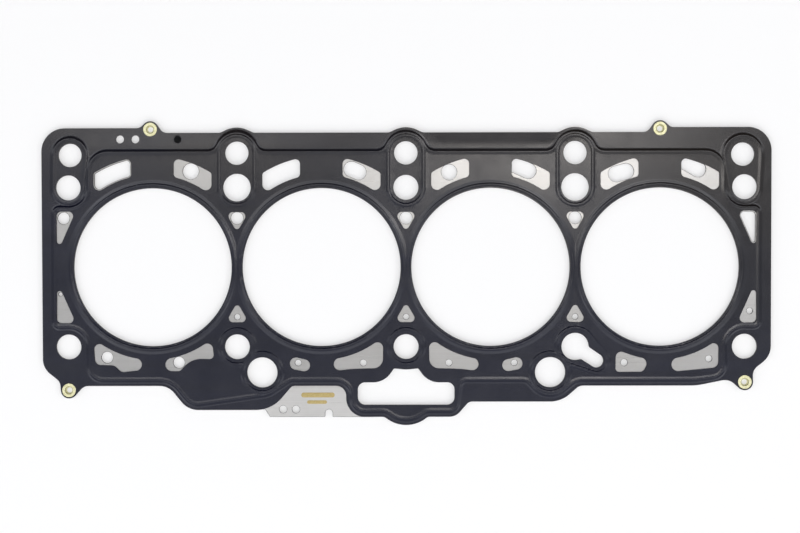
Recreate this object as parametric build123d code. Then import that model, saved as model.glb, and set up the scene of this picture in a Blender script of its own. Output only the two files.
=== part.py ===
from build123d import *
import os
from math import atan2, copysign, cos, hypot, pi, sin, sqrt

# Multi-layer steel cylinder head gasket for an in-line four-cylinder engine.
# Two thin embossed spring steel sheets lie either side of a bare spacer sheet,
# and four tubular eyelets, in ears on the rim, hold the stack together.
#
# Frame: X runs along the row of bores, Y across the engine deck towards the side
# with the paired holes, Z up through the stack. The origin is on the bore line,
# midway between the second and third bores, level with the lowest bead crests,
# on which the gasket rests.

# ---- driving dimensions, mm -------------------------------------------------

BORE_PITCH = 88.0
BORE_RADIUS = 41.2

# the stack and its embossing
BEADED_THICKNESS = 0.25
SPACER_THICKNESS = 1.10
STEP_HEIGHT = 0.20  # half bead: the field stands this much above the rim
STEP_FLANK = 1.1  # width of the slope between rim and field
BEAD_HEIGHT = 0.20  # full bead above the field
BEAD_FLANK = 0.9  # width of each slope of a full bead
BEAD_CREST = 0.7  # width of its level top
BORE_BEAD_FLANK = 1.3  # the same two, for the beads round the bores
BORE_BEAD_CREST = 0.8
BORE_BEAD_OFFSET = 2.5  # from a bore's edge to the middle of its bead
BOLT_BEAD_OFFSET = 2.7  # the same, for bolt holes
OIL_BEAD_OFFSET = 2.4  # the same, for oil return holes

# head bolt holes, in a row on either side of the bores
BOLT_ROW_BEYOND = 0.3  # from the bores' edge to a bolt row
BOLT_HOLE_RADIUS = 6.5
WIDE_HOLE_RADIUS = 7.2  # upper row, between the outer and inner bores
KEYHOLE_RADIUS = 7.1  # lower row, between the third and fourth bores

# holes above the upper bolt row, each paired with a bolt hole
PAIR_SPACING = 17.9
PAIR_HOLE_RADIUS = 6.1
END_PAIR_INSET = 1.0  # the end ones sit nearer to the middle and to the bores

# oil return holes, below the lower bolt row
OIL_HOLE_FROM_COLUMN = 13.0
OIL_HOLE_BELOW = 13.4
OIL_HOLE_RADIUS = 7.9

# rim, measured outwards from the nearer bolt row or the end column of bolts
TOP_MARGIN = 28.5
BULGE_RISE = 2.7  # of the bulges over the paired holes, above the top edge
END_TOP_MARGIN = 31.0  # outside the two top ears
LOW_MARGIN = 20.4
END_MARGIN = 13.7
LOBE_MARGIN = 33.0  # lobe round the left oil return hole
SHELF_MARGIN = 28.7  # shelf beside the right one
RIM_WIDTH = 2.4  # from the edge to the half bead, where it follows the edge
FIELD_TOP_MARGIN = 19.3  # half bead between the bulges of the top edge
FIELD_END_MARGIN = 8.2
FIELD_PASSING = 3.3  # from the edge of an end bolt hole to the half bead round it

# hand slot in the middle of the lower edge, with the loop below it
SLOT_HALF_WIDTH = 25.2
SLOT_LOW_MARGIN = 30.4
SLOT_SHOULDER_MARGIN = 18.6
LOOP_WIDTH = 6.2

# coolant windows of the embossed sheets
WINDOW_FROM_BORE = 7.1  # bore edge to window
WINDOW_DEPTH = 9.6
WINDOW_NEAR = 11.1  # from the bore's centre line to the nearer end
WINDOW_FROM_COLUMN = 13.2  # from the bolt column to the farther end

# eyelets and the ears that carry them
EAR_RADIUS = 4.3
EYELET_FLANGE_RADIUS = 3.6
EYELET_TUBE_RADIUS = 2.3
EYELET_WALL = 0.45
EYELET_FLANGE_THICKNESS = 0.28

# thickness marks: holes and a stamped ring near the top left ear, and the tab
MARK_HOLE_RADIUS = 2.1
MARK_HOLE_PITCH = 8.0
MARK_HOLE_FROM_EDGE = 3.3
STAMPED_RING_RADIUS = 1.95
STAMPED_RING_WIDTH = 0.6
STAMPED_RING_DEPTH = 0.12
TAB_HOLE_RADIUS = 2.0
TAB_HOLE_PITCH = 6.7
TAB_NOTCH_WIDTH = 3.9
TAB_NOTCH_DEPTH = 3.9

# ---- places worked out from them --------------------------------------------

BOLT_ROW_Y = BORE_RADIUS + BOLT_ROW_BEYOND
PAIR_ROW_Y = BOLT_ROW_Y + PAIR_SPACING
TOP_Y = BOLT_ROW_Y + TOP_MARGIN
END_TOP_Y = BOLT_ROW_Y + END_TOP_MARGIN
BULGE_RADIUS = TOP_Y + BULGE_RISE - PAIR_ROW_Y
LOW_Y = -BOLT_ROW_Y - LOW_MARGIN
LOBE_LOW_Y = -BOLT_ROW_Y - LOBE_MARGIN
SHELF_LOW_Y = -BOLT_ROW_Y - SHELF_MARGIN
FIELD_TOP_Y = BOLT_ROW_Y + FIELD_TOP_MARGIN
FIELD_LOW_Y = LOW_Y + RIM_WIDTH
SLOT_LOW_Y = -BOLT_ROW_Y - SLOT_LOW_MARGIN
SLOT_SHOULDER_Y = -BOLT_ROW_Y - SLOT_SHOULDER_MARGIN
LOOP_LOW_Y = SLOT_LOW_Y - LOOP_WIDTH  # the tab ends level with the loop
MARK_HOLE_Y = TOP_Y - MARK_HOLE_FROM_EDGE

LOW_RIM_Z = STEP_HEIGHT + BEAD_HEIGHT
LOW_SPACER_Z = LOW_RIM_Z + BEADED_THICKNESS
HIGH_SPACER_Z = LOW_SPACER_Z + SPACER_THICKNESS
HIGH_RIM_Z = HIGH_SPACER_Z + BEADED_THICKNESS


def column(i):
    """X of bolt column i, from 0 at the left end to 4 at the right end."""
    return (i - 2) * BORE_PITCH


def bore(i):
    """X of the centre of bore i, from 0 at the left to 3 at the right."""
    return (i - 1.5) * BORE_PITCH


BORES = [bore(i) for i in range(4)]
INNER_COLUMNS = [column(i) for i in (1, 2, 3)]
END_X = column(4) + END_MARGIN
OIL_HOLES = [
    (column(1) + OIL_HOLE_FROM_COLUMN, -BOLT_ROW_Y - OIL_HOLE_BELOW, OIL_HOLE_RADIUS),
    (column(3) - OIL_HOLE_FROM_COLUMN, -BOLT_ROW_Y - OIL_HOLE_BELOW, OIL_HOLE_RADIUS),
]
EYELETS = {
    "top_left": (bore(0) - 1.1, END_TOP_Y - 0.7),
    "top_right": (bore(3) + 0.1, END_TOP_Y - 0.7),
    "lower_left": (13.7 - END_X, LOW_Y - 2.2),
    "lower_right": (END_X - 13.5, LOW_Y + 1.8),
}

# ---- loops of tangent arcs --------------------------------------------------
# A loop is a list of circles (x, y, radius), taken anticlockwise. It bends left
# round a circle of positive radius and right round one of negative radius, and
# runs straight from each circle to the next.


def tangent_normal(start, end):
    """Unit vector to the right of the line that leaves start and meets end."""
    across, up = end[0] - start[0], end[1] - start[1]
    distance = hypot(across, up)
    lean = max(-1.0, min(1.0, (start[2] - end[2]) / distance))
    rest = sqrt(1 - lean * lean)
    return (across * lean + up * rest) / distance, (up * lean - across * rest) / distance


def on_circle(circle, angle):
    x, y, radius = circle
    return x + radius * cos(angle), y + radius * sin(angle)


def loop_wire(circles):
    following = circles[1:] + circles[:1]
    angles = []
    for circle, other in zip(circles, following):
        across, up = tangent_normal(circle, other)
        angles.append(atan2(up, across))
    leaves = [on_circle(circle, angle) for circle, angle in zip(circles, angles)]
    meets = [on_circle(other, angle) for other, angle in zip(following, angles)]
    edges = []
    for i, circle in enumerate(circles):
        start = meets[i - 1]
        if hypot(start[0] - leaves[i - 1][0], start[1] - leaves[i - 1][1]) < 0.001:
            start = leaves[i - 1]
        turn = (angles[i] - angles[i - 1]) % (2 * pi)
        if circle[2] < 0:
            turn -= 2 * pi
        edges.append(ThreePointArc(start, on_circle(circle, angles[i - 1] + turn / 2), leaves[i]))
        if hypot(meets[i][0] - leaves[i][0], meets[i][1] - leaves[i][1]) >= 0.001:
            edges.append(Line(leaves[i], meets[i]))
    return Wire(edges)


def loop_face(circles):
    if len(circles) == 1:
        x, y, radius = circles[0]
        return Face(Wire(Edge.make_circle(radius, Plane((x, y, 0)))))
    return Face(loop_wire(circles))


def grown(circles, amount):
    """The loop moved outwards by amount all round."""
    return [(x, y, radius + amount) for x, y, radius in circles]


def moved(circles, dx):
    return [(x + dx, y, radius) for x, y, radius in circles]


def flipped_x(circles):
    return [(-x, y, radius) for x, y, radius in reversed(circles)]


def flipped_y(circles):
    return [(x, -y, radius) for x, y, radius in reversed(circles)]


def fillet_beside(circle, edge_y, radius, side, run=0.0):
    """Fillet between a circle and the straight edge at edge_y, with a straight run between.

    side is 1 on the circle's right and -1 on its left.
    """
    x, y, size = circle
    fillet_y = edge_y + copysign(radius, edge_y)
    across = sqrt((size + radius) ** 2 - (fillet_y - y) ** 2) + run
    return x + side * across, fillet_y, -radius


# ---- the rim ----------------------------------------------------------------


def slot_loop(inset):
    """Outer edge of the loop below the slot, from left to right, taken in by inset."""
    left = (-SLOT_HALF_WIDTH - LOOP_WIDTH + 10.0, LOOP_LOW_Y + 9.8, 9.9)
    right = (SLOT_HALF_WIDTH - 2.7, LOOP_LOW_Y + 7.3, 7.3)
    bulge = (0, LOOP_LOW_Y + 12.6, 16.9)
    circles = [fillet_beside(left, LOW_Y, 5.4, -1), left]
    circles += [fillet_beside(bulge, LOOP_LOW_Y, 3.9, -1), bulge]
    circles += [fillet_beside(bulge, LOOP_LOW_Y, 3.0, 1), right]
    return grown(circles, -inset)


def rim_loop():
    circles = [(END_X - 12.0, END_TOP_Y - 12.2, 12.2)]
    x, y = EYELETS["top_right"]
    ear = (x, y, EAR_RADIUS)
    circles += [fillet_beside(ear, END_TOP_Y, 3.6, 1, 0.4), ear, fillet_beside(ear, TOP_Y, 4.4, -1, 0.5)]
    for x in reversed(INNER_COLUMNS):
        bulge = (x, PAIR_ROW_Y, BULGE_RADIUS)
        circles += [fillet_beside(bulge, TOP_Y, 3.4, 1, 0.4), bulge, fillet_beside(bulge, TOP_Y, 3.4, -1, 0.4)]
    x, y = EYELETS["top_left"]
    ear = (x, y, EAR_RADIUS)
    circles += [fillet_beside(ear, TOP_Y, 4.4, 1, 0.5), ear, fillet_beside(ear, END_TOP_Y, 3.6, -1, 0.4)]
    circles += [(12.0 - END_X, END_TOP_Y - 12.2, 12.2)]
    # lower left corner and its ear
    x, y = EYELETS["lower_left"]
    ear = (x, y, EAR_RADIUS)
    circles += [(9.8 - END_X, LOW_Y + 14.0, 9.7), (x - EAR_RADIUS - 4.9, y + 2.0, -4.7)]
    circles += [ear, fillet_beside(ear, LOW_Y, 5.9, 1, 0.8)]
    # lobe, slot loop and shelf
    lobe = (bore(0) + 23.5, LOBE_LOW_Y + 11.2, 11.2)
    lobe_end = (OIL_HOLES[0][0] - 3.4, LOBE_LOW_Y + 17.7, 17.7)
    circles += [fillet_beside(lobe, LOW_Y, 9.8, -1, 1.0), lobe]
    circles += [lobe_end, fillet_beside(lobe_end, LOW_Y, 3.2, 1, 1.2)]
    circles += slot_loop(0)
    shelf_end = (OIL_HOLES[1][0], OIL_HOLES[1][1], OIL_HOLES[1][1] - SHELF_LOW_Y)
    circles += [fillet_beside(circles[-1], SHELF_LOW_Y, 3.6, 1, 1.4), shelf_end]
    circles += [fillet_beside(shelf_end, LOW_Y, 5.3, 1, 0.7)]
    # lower right corner and its ear
    x, y = EYELETS["lower_right"]
    circles += [(column(4) - 27.9, LOW_Y + 31.4, 31.4), (x - EAR_RADIUS - 6.1, y - 6.6, -7.6), (x, y, EAR_RADIUS)]
    circles += [(x + EAR_RADIUS + 6.0, y + 3.3, -6.1), (END_X - 10.7, LOW_Y + 20.6, 10.7)]
    return circles


# ---- openings ---------------------------------------------------------------


def beside_bore(x, radius, row=-1):
    """Corner of a window, where it follows the bore at X 0, on the side of row."""
    reach = BORE_RADIUS + WINDOW_FROM_BORE + radius
    return x, row * sqrt(reach * reach - x * x), radius


def bore_side():
    """Edge of a window that follows the bore at X 0."""
    return 0, 0, -BORE_RADIUS - WINDOW_FROM_BORE


def upper_window():
    """Sector window above and to the right of the bore at X 0."""
    near, far = WINDOW_NEAR, BORE_PITCH / 2 - WINDOW_FROM_COLUMN
    outer = BORE_RADIUS + WINDOW_FROM_BORE + WINDOW_DEPTH

    def outer_corner(x, radius):
        reach = outer - radius
        return x, sqrt(reach * reach - x * x), radius

    return [
        beside_bore(near + 2.2, 2.2, 1),
        bore_side(),
        beside_bore(far - 3.0, 3.0, 1),
        outer_corner(far - 1.8, 1.8),
        (0, 0, outer),
        outer_corner(near + 2.5, 2.5),
    ]


def lower_windows():
    """Windows between the bores and the lower edge, from left to right."""
    low_y = -BOLT_ROW_Y
    half = BORE_PITCH / 2
    end_left = [
        beside_bore(16.1 - half, 2.8),
        (16.6 - half, low_y - 6.4, 3.0),
        (22.0 - half, low_y - 13.9, -4.3),
        (28.6 - half, low_y - 9.9, 3.2),
        beside_bore(34.9 - half, 3.2),
        bore_side(),
    ]
    beside_lobe = [
        beside_bore(half - 34.2, 3.4),
        (half - 31.1, low_y - 10.1, 2.6),
        (half - 18.9, low_y - 18.1, -11.8),
        (half - 14.6, low_y - 4.2, 2.2),
        beside_bore(half - 15.7, 3.0),
        bore_side(),
    ]
    beside_oil = [(30.6 - half, low_y - 8.8, 3.2), (34.8 - half, low_y - 9.7, 3.1)]
    slot_corner = beside_bore(half - 34.5, 3.2)
    beside_slot = [
        slot_corner,
        (half - 27.6, slot_corner[1] - 14.2, -11.7),
        (half - 17.1, low_y - 6.3, 5.0),
        beside_bore(half - 14.9, 2.9),
        bore_side(),
    ]
    beside_keyhole = [
        (23.0 - half, low_y - 11.3, 2.0),
        (33.7 - half, low_y - 10.5, 2.7),
        beside_bore(33.9 - half, 3.2),
        bore_side(),
        beside_bore(24.0 - half, 2.9),
    ]
    end_right = [
        beside_bore(half - 34.4, 3.5),
        (half - 16.8, low_y - 8.0, 3.2),
        beside_bore(half - 16.0, 2.5),
        bore_side(),
    ]
    return [
        moved(end_left, bore(0)),
        moved(beside_lobe, bore(0)),
        moved(beside_oil, bore(1)),
        moved(beside_slot, bore(1)),
        moved(flipped_x(beside_slot), bore(2)),
        moved(flipped_x(beside_oil), bore(2)),
        moved(beside_keyhole, bore(3)),
        moved(end_right, bore(3)),
    ]


def side_window():
    """Tapering window between the last bore and the right end, above the bore line."""
    x, wide_y = column(4), BOLT_ROW_Y - 14.8
    return [(x + 3.7, wide_y, 2.4), (x - 0.1, wide_y, 2.4), (x + 4.6, wide_y - 13.0, 1.4)]


def web_window(x):
    """Small triangle between two bores and the bolt hole above them."""
    tip_y = BOLT_ROW_Y - 20.0
    return [(x, tip_y, 1.6), (x + 2.2, tip_y + 5.0, 2.2), (x - 2.2, tip_y + 5.0, 2.2)]


def coolant_windows():
    """Windows of the embossed sheets, larger than the metering holes behind them."""
    windows = []
    for x in BORES:
        windows += [moved(upper_window(), x), moved(flipped_x(upper_window()), x)]
    windows += lower_windows()
    side = side_window()
    windows += [side, flipped_y(side), flipped_x(side), flipped_x(flipped_y(side))]
    for x in INNER_COLUMNS:
        windows += [web_window(x), flipped_y(web_window(x))]
    return windows


def metering_holes():
    """Coolant holes of the spacer: round ones, and loops."""
    upper_y, low_y = BOLT_ROW_Y + 8.5, -BOLT_ROW_Y - 8.4
    half = BORE_PITCH / 2
    circles = [
        (bore(0) + half - 24.0, upper_y, 4.2),
        (bore(2) - half + 22.5, upper_y - 0.7, 4.1),
        (column(0) - 2.5, BOLT_ROW_Y - 15.9, 3.1),
        (column(0) - 4.3, 27.5 - BOLT_ROW_Y, 1.0),
        (column(4) + 2.7, 18.5 - BOLT_ROW_Y, 1.6),
        (column(0) + 20.0, low_y + 2.9, 3.0),
        (column(1) - 30.5, low_y + 0.2, 3.0),
        (column(1) + 31.7, low_y, 1.6),
        (column(2) - 22.3, low_y, 1.7),
        (column(2) + 22.3, low_y, 1.7),
        (column(3) - 31.7, low_y, 1.6),
        (column(3) + 25.5, low_y, 1.8),
        (column(4) - 18.5, low_y + 2.0, 1.7),
    ]
    for x in INNER_COLUMNS:
        circles += [(x, BOLT_ROW_Y - 15.9, 3.2), (x, 15.6 - BOLT_ROW_Y, 1.5)]
    loops = [
        [(column(2) - 28.3, upper_y + 1.0, 4.0), (column(2) - 24.7, upper_y - 0.6, 4.0)],
        [(column(3) - 31.0, upper_y + 3.0, 4.1), (column(3) - 24.3, upper_y - 0.1, 4.1)],
        [(column(3) + 21.3, upper_y - 1.8, 4.1), (column(3) + 26.4, upper_y - 0.4, 4.1)],
        [(column(4) - 30.0, upper_y + 4.0, 4.1), (column(4) - 24.2, upper_y + 0.6, 4.1)],
        grown(moved(flipped_x(upper_window()), bore(0)), -0.6),
        moved(flipped_x(upper_window()), bore(1)),
        grown(side_window(), -0.5),
    ]
    return circles, loops


def slot():
    right = [
        (SLOT_HALF_WIDTH - 3.9, SLOT_LOW_Y + 3.9, 3.9),
        (SLOT_HALF_WIDTH - 3.8, SLOT_SHOULDER_Y - 3.8, 3.8),
        (17.1, SLOT_SHOULDER_Y + 10.9, -10.9),
        (5.9, -BOLT_ROW_Y - BOLT_HOLE_RADIUS - 5.7, 0.8),
    ]
    return right + [(0, -BOLT_ROW_Y, -BOLT_HOLE_RADIUS - 5.4)] + flipped_x(right)


def keyhole():
    """Bolt hole with an arm that reaches towards the lower right."""
    x, y = column(3), -BOLT_ROW_Y
    arm = (x + 11.1, y - 7.4, 3.6)
    below = (x + 2.9, y - sqrt((KEYHOLE_RADIUS + 1.7) ** 2 - 2.9**2), -1.6)
    above = (x + sqrt((KEYHOLE_RADIUS + 1.3) ** 2 - 0.3**2), y + 0.3, -1.2)
    return [(x, y, KEYHOLE_RADIUS), below, arm, above]


def paired_holes():
    """(bolt hole, hole above it) of each pair along the top, from left to right."""
    pairs = []
    for i in range(5):
        inset = END_PAIR_INSET if i in (0, 4) else 0.0
        x = column(i)
        radius = WIDE_HOLE_RADIUS if i in (1, 3) else BOLT_HOLE_RADIUS
        upper = (x - copysign(inset, x), PAIR_ROW_Y - inset, PAIR_HOLE_RADIUS)
        pairs.append(((x, BOLT_ROW_Y, radius), upper))
    return pairs


def common_holes():
    """Round holes that pass through every sheet."""
    holes = [(x, 0, BORE_RADIUS) for x in BORES] + OIL_HOLES
    for bolt_hole, upper in paired_holes():
        holes += [bolt_hole, upper]
    holes += [(column(i), -BOLT_ROW_Y, BOLT_HOLE_RADIUS) for i in (0, 1, 2, 4)]
    holes += [(bore(0) - 8.9 - i * MARK_HOLE_PITCH, MARK_HOLE_Y, MARK_HOLE_RADIUS) for i in (0, 1)]
    holes += [(x, y, EYELET_TUBE_RADIUS) for x, y in EYELETS.values()]
    return holes


# ---- embossing --------------------------------------------------------------

BLOCK_DEPTH = 4.0  # below the rim, more than the sheet is thick
RUN_ON = 0.3  # share of a slope that carries on down into what it stands on


def prism(circles, low, high):
    return Pos(0, 0, low) * extrude(loop_face(circles), high - low)


def sloped(solid, flank, height):
    """The solid, with all the edges of its top face cut back to slopes."""
    top = solid.faces().sort_by(Axis.Z)[-1]
    return chamfer(top.edges(), length=flank, length2=height, reference=top)


def raised_area(circles, flank, height):
    """Raised area whose slope has its middle on the loop."""
    block = prism(grown(circles, flank * (0.5 + RUN_ON)), -BLOCK_DEPTH, height)
    return sloped(block, flank * (1 + RUN_ON), height * (1 + RUN_ON))


def bead(circles, flank, crest):
    """Full bead above the field, with its crest on the loop."""
    spread = crest / 2 + flank * (1 + RUN_ON)
    height = STEP_HEIGHT + BEAD_HEIGHT
    block = prism(grown(circles, spread), -BLOCK_DEPTH, height)
    block -= prism(grown(circles, -spread), -2 * BLOCK_DEPTH, 2 * height)
    return sloped(block.solid(), flank * (1 + RUN_ON), BEAD_HEIGHT * (1 + RUN_ON))


def field_loop():
    """Middle of the half bead between the rim and the raised field."""
    end, low_y = column(4), -BOLT_ROW_Y
    corner_x = end + FIELD_END_MARGIN - 3.5
    passing = -BOLT_HOLE_RADIUS - FIELD_PASSING
    corner_y = BOLT_ROW_Y - BOLT_HOLE_RADIUS - 6.7
    circles = [(corner_x, corner_y, 3.5), (end, BOLT_ROW_Y, passing)]
    circles += [(end - 20.5, FIELD_TOP_Y - 10.7, 10.7)]
    for x in reversed(INNER_COLUMNS):
        bulge = (x, PAIR_ROW_Y, BULGE_RADIUS - 1.9)
        circles += [fillet_beside(bulge, FIELD_TOP_Y, 5.0, 1, 0.1), bulge]
        circles += [fillet_beside(bulge, FIELD_TOP_Y, 5.0, -1, 0.1)]
    circles += [(20.5 - end, FIELD_TOP_Y - 10.7, 10.7), (-end, BOLT_ROW_Y, passing)]
    circles += [(-corner_x, corner_y, 3.5), (-corner_x, -corner_y, 3.5)]
    circles += [(-end, low_y, passing), (18.0 - end, FIELD_LOW_Y + 8.0, 8.0)]
    lobe = (bore(0) + 23.5, LOBE_LOW_Y + 11.2, 11.2 - RIM_WIDTH)
    around_left = (OIL_HOLES[0][0] - 1.0, OIL_HOLES[0][1], OIL_HOLE_RADIUS + 4.7)
    circles += [fillet_beside(lobe, FIELD_LOW_Y, 9.8 + RIM_WIDTH, -1, 1.0), lobe]
    circles += [around_left, fillet_beside(around_left, FIELD_LOW_Y, 4.0, 1, 3.0)]
    circles += slot_loop(RIM_WIDTH)
    around_right = (OIL_HOLES[1][0], OIL_HOLES[1][1], OIL_HOLE_RADIUS + 4.5)
    circles += [(circles[-1][0] + 9.0, FIELD_LOW_Y - 3.0, -3.0)]
    circles += [fillet_beside(around_right, FIELD_LOW_Y, 4.0, -1, 0.4), around_right]
    circles += [fillet_beside(around_right, FIELD_LOW_Y, 7.7, 1, 0.7)]
    circles += [(end - 27.9, LOW_Y + 31.4, 31.4 - RIM_WIDTH), (end - 17.5, FIELD_LOW_Y + 9.1, 8.0)]
    circles += [(end, low_y, passing), (corner_x, -corner_y, 3.5)]
    return circles


def end_pair_areas():
    """Raised areas of their own round the two end pairs, outside the field."""
    areas = []
    for i, beyond in ((0, 3.3), (4, 4.4)):
        (x, y, radius), upper = paired_holes()[i]
        areas.append([(x, y, radius + FIELD_PASSING - STEP_FLANK), (upper[0], upper[1], upper[2] + beyond)])
    return areas


def bead_loops():
    """Crests of the beads round the smaller holes that lie in the field."""
    bolt_bead = BOLT_HOLE_RADIUS + BOLT_BEAD_OFFSET
    loops = [
        [(lower[0], lower[1], bolt_bead), (upper[0], upper[1], bolt_bead)]
        for lower, upper in paired_holes()[1:4]
    ]
    loops += [[(column(i), -BOLT_ROW_Y, bolt_bead)] for i in (1, 2)]
    key, arm = keyhole()[0], keyhole()[2]
    loops.append(grown([key, arm], BOLT_BEAD_OFFSET))
    loops += [grown([hole], OIL_BEAD_OFFSET) for hole in OIL_HOLES]
    return loops


def embossed_block():
    """Everything below the upper surface of the upper sheet, with the rim at Z 0."""
    length, width = 2 * (END_X + 20), 2 * (TOP_Y - LOOP_LOW_Y)
    block = Box(length, width, BLOCK_DEPTH, align=(Align.CENTER, Align.CENTER, Align.MAX))
    areas = [field_loop()] + end_pair_areas()
    block = block.fuse(*[raised_area(area, STEP_FLANK, STEP_HEIGHT) for area in areas])
    beads = [bead(loop, BEAD_FLANK, BEAD_CREST) for loop in bead_loops()]
    for x in BORES:
        crest = [(x, 0, BORE_RADIUS + BORE_BEAD_OFFSET)]
        beads.append(bead(crest, BORE_BEAD_FLANK, BORE_BEAD_CREST))
    return block.fuse(*beads).solid()


# ---- sheets and eyelets -----------------------------------------------------


def punched(sheet, holes, loops):
    """The sheet with these holes and loops cut through it."""
    low, high = -1.0, HIGH_RIM_Z + 1.0
    tools = [prism([hole], low, high) for hole in holes]
    tools += [prism(loop, low, high) for loop in loops]
    return sheet.cut(*tools).solid()


def beaded_layer():
    """The upper embossed sheet, before its ring is stamped. The lower one is its mirror image."""
    block = Pos(0, 0, HIGH_RIM_Z) * embossed_block()
    sheet = block - Pos(0, 0, -BEADED_THICKNESS) * block
    sheet = sheet & prism(rim_loop(), HIGH_SPACER_Z - 1.0, HIGH_RIM_Z + 1.0)
    return punched(sheet.solid(), common_holes(), [slot(), keyhole()] + coolant_windows())


def stamped_ring():
    """Tool for the ring stamped in the rim beside the top left ear."""
    groove = Circle(STAMPED_RING_RADIUS) - Circle(STAMPED_RING_RADIUS - STAMPED_RING_WIDTH)
    return Pos(bore(0) + 13.2, MARK_HOLE_Y, HIGH_RIM_Z - STAMPED_RING_DEPTH) * extrude(groove, 1.0)


def spacer_layer():
    """The bare sheet, with a tab that shows its thickness marks beside the slot loop."""
    left, right = OIL_HOLES[0][0] + 3.8, 1.0 - SLOT_HALF_WIDTH
    inside_y = LOW_Y + 4.0
    outline = Polygon(
        (left - 2.3, LOOP_LOW_Y + 3.5),
        (left, LOOP_LOW_Y),
        (right, LOOP_LOW_Y),
        (right, LOOP_LOW_Y + LOOP_WIDTH),
        (right - 17.0, inside_y),
        (left + 5.0, inside_y),
        align=None,
    )
    tab = Pos(0, 0, LOW_SPACER_Z) * extrude(outline, SPACER_THICKNESS)
    sheet = (prism(rim_loop(), LOW_SPACER_Z, HIGH_SPACER_Z) + tab).solid()
    circles, loops = metering_holes()
    tab_holes = [(left + 7.0 + i * TAB_HOLE_PITCH, LOOP_LOW_Y + 3.9, TAB_HOLE_RADIUS) for i in (0, 1)]
    notch_x, notch_end = -SLOT_HALF_WIDTH - 15.1, TAB_NOTCH_WIDTH / 2
    notch = [
        (notch_x, LOOP_LOW_Y + TAB_NOTCH_DEPTH - notch_end, notch_end),
        (notch_x, LOOP_LOW_Y - 2 * notch_end, notch_end),
    ]
    return punched(sheet, common_holes() + circles + tab_holes, [slot(), keyhole(), notch] + loops)


def eyelet(x, y):
    """Tube with a flange at each end, rolled over the rims of the two outer sheets."""
    inner = EYELET_TUBE_RADIUS - EYELET_WALL
    flange = EYELET_FLANGE_RADIUS
    high = HIGH_RIM_Z + EYELET_FLANGE_THICKNESS
    low = LOW_RIM_Z - EYELET_FLANGE_THICKNESS
    mouth = 0.40  # funnel at each end of the tube
    roll = 0.18  # outer edge of the flange
    upper = [
        (inner, high - mouth),
        (inner + mouth, high),
        (flange - roll, high),
        (flange, high - roll),
        (flange, HIGH_RIM_Z),
        (EYELET_TUBE_RADIUS, HIGH_RIM_Z),
    ]
    lower = [(radius, high + low - z) for radius, z in reversed(upper)]
    profile = Plane.XZ * Polygon(*upper, *lower, align=None)
    return Pos(x, y, 0) * revolve(profile, Axis.Z)


beaded = beaded_layer()
middle = Plane((0, 0, (LOW_SPACER_Z + HIGH_SPACER_Z) / 2))
nodes = {
    "top_bead_layer": beaded - stamped_ring(),
    "spacer_layer": spacer_layer(),
    "bottom_bead_layer": mirror(beaded, about=middle),
}
for name, (x, y) in EYELETS.items():
    nodes["eyelet_" + name] = eyelet(x, y)

os.makedirs("parts", exist_ok=True)
for name, shape in nodes.items():
    export_step(shape, "parts/" + name + ".step")
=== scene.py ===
from math import atan2, ceil, copysign, cos, hypot, pi, sin, sqrt

import bpy
import numpy as np
from mathutils import Matrix, Vector
from mathutils.geometry import delaunay_2d_cdt
from mathutils.kdtree import KDTree


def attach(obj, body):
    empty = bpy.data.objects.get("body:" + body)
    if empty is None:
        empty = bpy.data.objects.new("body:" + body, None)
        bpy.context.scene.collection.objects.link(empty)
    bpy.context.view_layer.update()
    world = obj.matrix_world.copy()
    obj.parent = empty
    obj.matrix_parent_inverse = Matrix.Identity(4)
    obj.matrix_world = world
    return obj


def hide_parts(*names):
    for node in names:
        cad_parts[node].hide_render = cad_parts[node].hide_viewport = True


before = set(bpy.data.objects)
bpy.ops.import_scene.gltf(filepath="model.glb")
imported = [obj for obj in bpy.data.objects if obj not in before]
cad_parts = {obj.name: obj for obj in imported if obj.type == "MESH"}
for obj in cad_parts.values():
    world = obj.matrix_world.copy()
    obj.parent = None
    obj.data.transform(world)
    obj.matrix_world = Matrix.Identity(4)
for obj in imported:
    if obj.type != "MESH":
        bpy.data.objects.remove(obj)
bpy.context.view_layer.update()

# Cylinder head gasket. Sizes are in millimetres, as in the part's source, and
# every mesh is written in metres.

# ---- sizes ------------------------------------------------------------------

MM = 0.001
BORE_PITCH = 88.0
BORE_RADIUS = 41.2
BEADED_THICKNESS = 0.25
STEP_HEIGHT = 0.20
STEP_FLANK = 1.1
BEAD_HEIGHT = 0.20
BEAD_FLANK = 0.9
BEAD_CREST = 0.7
BORE_BEAD_OFFSET = 2.5
BOLT_BEAD_OFFSET = 2.7
OIL_BEAD_OFFSET = 2.4
BOLT_ROW_Y = BORE_RADIUS + 0.3
BOLT_HOLE_RADIUS = 6.5
WIDE_HOLE_RADIUS = 7.2
KEYHOLE_RADIUS = 7.1
PAIR_ROW_Y = BOLT_ROW_Y + 17.9
PAIR_HOLE_RADIUS = 6.1
OIL_HOLE_RADIUS = 7.9
TOP_Y = BOLT_ROW_Y + 28.5
END_TOP_Y = BOLT_ROW_Y + 31.0
BULGE_RADIUS = TOP_Y + 2.7 - PAIR_ROW_Y
LOW_Y = -BOLT_ROW_Y - 20.4
LOBE_LOW_Y = -BOLT_ROW_Y - 33.0
SHELF_LOW_Y = -BOLT_ROW_Y - 28.7
RIM_WIDTH = 2.4
FIELD_TOP_Y = BOLT_ROW_Y + 19.3
FIELD_LOW_Y = LOW_Y + RIM_WIDTH
FIELD_PASSING = 3.3
SLOT_HALF_WIDTH = 25.2
SLOT_LOW_Y = -BOLT_ROW_Y - 30.4
SLOT_SHOULDER_Y = -BOLT_ROW_Y - 18.6
LOOP_LOW_Y = SLOT_LOW_Y - 6.2
WINDOW_FROM_BORE = 7.1
WINDOW_DEPTH = 9.6
EAR_RADIUS = 4.3
EYELET_FLANGE_RADIUS = 3.6
EYELET_TUBE_RADIUS = 2.3
EYELET_WALL = 0.45
EYELET_FLANGE_THICKNESS = 0.28
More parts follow.
